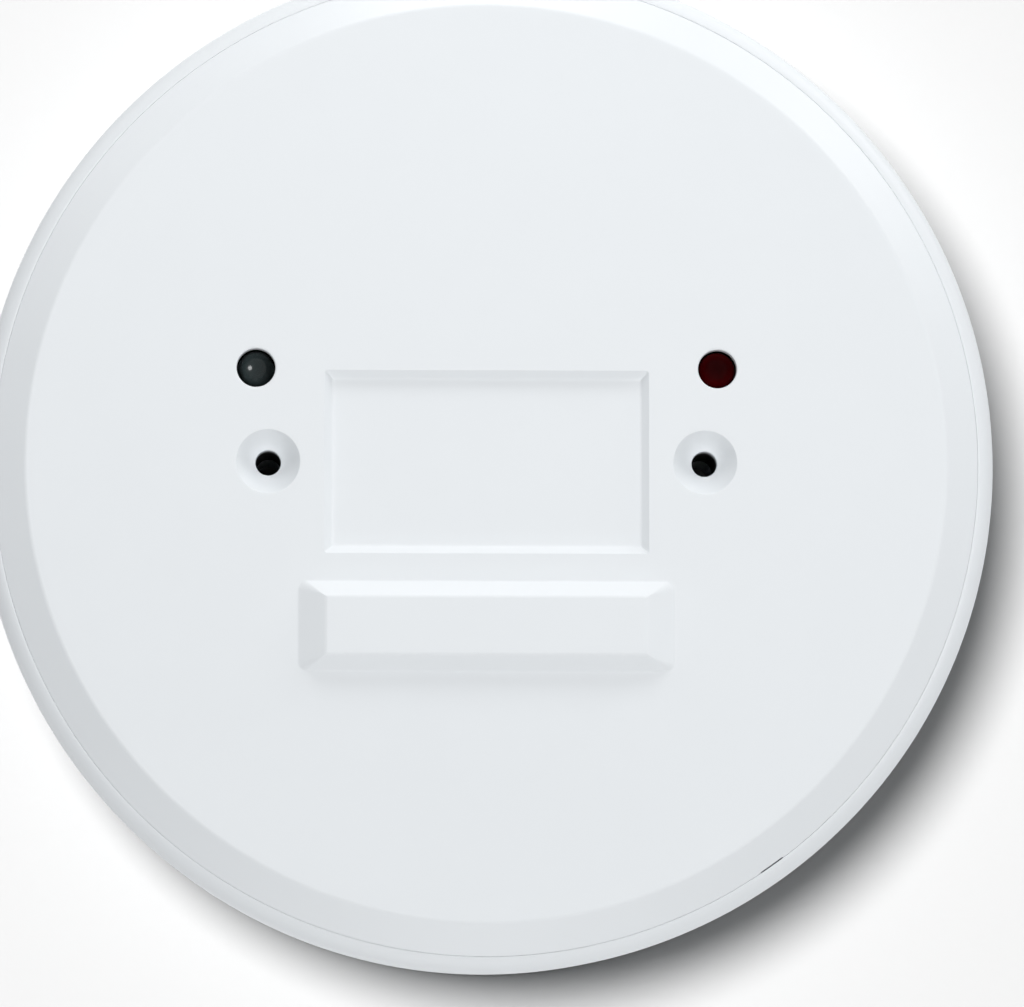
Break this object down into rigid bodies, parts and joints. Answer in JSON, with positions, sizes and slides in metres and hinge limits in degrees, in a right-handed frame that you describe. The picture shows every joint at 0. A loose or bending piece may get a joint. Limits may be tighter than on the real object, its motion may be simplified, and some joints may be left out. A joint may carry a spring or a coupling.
{
  "type": "smoke detector relay module",
  "caption": "Round white wall module with a bevelled front, label field, raised bar and signal lamps; a relay board inside switches an output when the alarm line calls.",
  "frame": {"origin": "centre of the flat back face, where the module rests on the wall", "axes": "+Z out of the front face, +Y up on the wall, +X to the right as seen from the front"},
  "size_m": [0.14, 0.14, 0.0298],
  "materials": {
    "housing_plastic": "moulded, satin",
    "cover_plastic": "moulded, satin with a fine grain",
    "board_laminate": "green solder resist",
    "screw_steel": "zinc plated",
    "clamp_steel": "zinc plated",
    "contact_metal": "tin plated",
    "terminal_plastic": "moulded",
    "relay_plastic": "moulded",
    "magnet_iron": "nickel plated",
    "bobbin_plastic": "moulded",
    "winding_copper": "enamelled wire",
    "spring_brass": "rolled strip",
    "power_lens": "smoky clear resin",
    "alarm_lens": "deep red resin",
    "spacer_plastic": "moulded",
    "tinned_wire": "tinned",
    "capacitor_plastic": "moulded",
    "varistor_coating": "dipped coating",
    "fuse_plastic": "moulded",
    "capacitor_sleeve": "shrink sleeve",
    "resistor_coating": "cement coating",
    "chip_plastic": "moulded",
    "resistor_ceramic": "glazed"
  },
  "bodies": {
    "module": {"rear_housing": "housing_plastic", "circuit_board": "board_laminate", "board_screws": "screw_steel", "mains_terminal_body": "terminal_plastic", "mains_terminal_contacts": "contact_metal", "output_terminal_body": "terminal_plastic", "output_terminal_contacts": "contact_metal", "relay_case": "relay_plastic", "relay_base": "relay_plastic", "relay_yoke": "magnet_iron", "relay_core": "magnet_iron", "relay_bobbin": "bobbin_plastic", "relay_winding": "winding_copper", "relay_coil_pins": "contact_metal", "relay_hinge_spring": "spring_brass", "relay_closed_contact": "contact_metal", "relay_open_contact": "contact_metal", "power_lamp": "power_lens", "alarm_lamp": "alarm_lens", "lamp_spacers": "spacer_plastic", "lamp_leads": "tinned_wire", "suppressor_capacitor": "capacitor_plastic", "varistor": "varistor_coating", "fuse": "fuse_plastic", "reservoir_capacitor": "capacitor_sleeve", "dropper_resistor": "resistor_coating", "component_leads": "tinned_wire", "line_isolator": "chip_plastic", "controller_chip": "chip_plastic", "bridge_rectifier": "chip_plastic", "drive_transistor": "chip_plastic", "chip_legs": "tinned_wire", "chip_resistors": "resistor_ceramic", "diodes": "chip_plastic"},
    "cover": {"front_cover": "cover_plastic"},
    "armature": {"relay_armature": "magnet_iron", "relay_contact_leaf": "spring_brass"},
    "mains_live_screw": {"mains_live_screw": "screw_steel"},
    "mains_live_clamp": {"mains_live_clamp": "clamp_steel"},
    "mains_neutral_screw": {"mains_neutral_screw": "screw_steel"},
    "mains_neutral_clamp": {"mains_neutral_clamp": "clamp_steel"},
    "mains_line_screw": {"mains_line_screw": "screw_steel"},
    "mains_line_clamp": {"mains_line_clamp": "clamp_steel"},
    "output_common_screw": {"output_common_screw": "screw_steel"},
    "output_common_clamp": {"output_common_clamp": "clamp_steel"},
    "output_closed_screw": {"output_closed_screw": "screw_steel"},
    "output_closed_clamp": {"output_closed_clamp": "clamp_steel"},
    "output_open_screw": {"output_open_screw": "screw_steel"},
    "output_open_clamp": {"output_open_clamp": "clamp_steel"}
  },
  "joints": [
    {"name": "cover_lift", "type": "slide", "parent": "module", "child": "cover", "axis": [0, 0, 1], "range_m": [0, 0.04]},
    {"name": "armature_swing", "type": "hinge", "parent": "module", "child": "armature", "pos_m": [0.0051, 0.0156, 0.019], "axis": [0, 1, 0], "range_deg": [0, 2.6], "stiffness_Nm_per_rad": 0.01, "springref_deg": -5.73},
    {"name": "mains_live_screw_turn", "type": "hinge", "parent": "module", "child": "mains_live_screw", "pos_m": [-0.0199, -0.0041, 0.018], "axis": [0, 0, -1], "range_deg": [0, 1728.5]},
    {"name": "mains_live_clamp_rise", "type": "slide", "parent": "module", "child": "mains_live_clamp", "axis": [0, 0, 1], "range_m": [0, 0.0024]},
    {"name": "mains_neutral_screw_turn", "type": "hinge", "parent": "module", "child": "mains_neutral_screw", "pos_m": [-0.0125, -0.0041, 0.018], "axis": [0, 0, -1], "range_deg": [0, 1728.5]},
    {"name": "mains_neutral_clamp_rise", "type": "slide", "parent": "module", "child": "mains_neutral_clamp", "axis": [0, 0, 1], "range_m": [0, 0.0024]},
    {"name": "mains_line_screw_turn", "type": "hinge", "parent": "module", "child": "mains_line_screw", "pos_m": [-0.0051, -0.0041, 0.018], "axis": [0, 0, -1], "range_deg": [0, 1728.5]},
    {"name": "mains_line_clamp_rise", "type": "slide", "parent": "module", "child": "mains_line_clamp", "axis": [0, 0, 1], "range_m": [0, 0.0024]},
    {"name": "output_common_screw_turn", "type": "hinge", "parent": "module", "child": "output_common_screw", "pos_m": [0.0051, -0.0041, 0.018], "axis": [0, 0, -1], "range_deg": [0, 1728.5]},
    {"name": "output_common_clamp_rise", "type": "slide", "parent": "module", "child": "output_common_clamp", "axis": [0, 0, 1], "range_m": [0, 0.0024]},
    {"name": "output_closed_screw_turn", "type": "hinge", "parent": "module", "child": "output_closed_screw", "pos_m": [0.0125, -0.0041, 0.018], "axis": [0, 0, -1], "range_deg": [0, 1728.5]},
    {"name": "output_closed_clamp_rise", "type": "slide", "parent": "module", "child": "output_closed_clamp", "axis": [0, 0, 1], "range_m": [0, 0.0024]},
    {"name": "output_open_screw_turn", "type": "hinge", "parent": "module", "child": "output_open_screw", "pos_m": [0.0199, -0.0041, 0.018], "axis": [0, 0, -1], "range_deg": [0, 1728.5]},
    {"name": "output_open_clamp_rise", "type": "slide", "parent": "module", "child": "output_open_clamp", "axis": [0, 0, 1], "range_m": [0, 0.0024]}
  ],
  "couplings": [
    {"joint": "mains_live_screw_turn", "follows": "mains_live_clamp_rise", "rad_per_m": 12566},
    {"joint": "mains_neutral_screw_turn", "follows": "mains_neutral_clamp_rise", "rad_per_m": 12566},
    {"joint": "mains_line_screw_turn", "follows": "mains_line_clamp_rise", "rad_per_m": 12566},
    {"joint": "output_common_screw_turn", "follows": "output_common_clamp_rise", "rad_per_m": 12566},
    {"joint": "output_closed_screw_turn", "follows": "output_closed_clamp_rise", "rad_per_m": 12566},
    {"joint": "output_open_screw_turn", "follows": "output_open_clamp_rise", "rad_per_m": 12566}
  ]
}
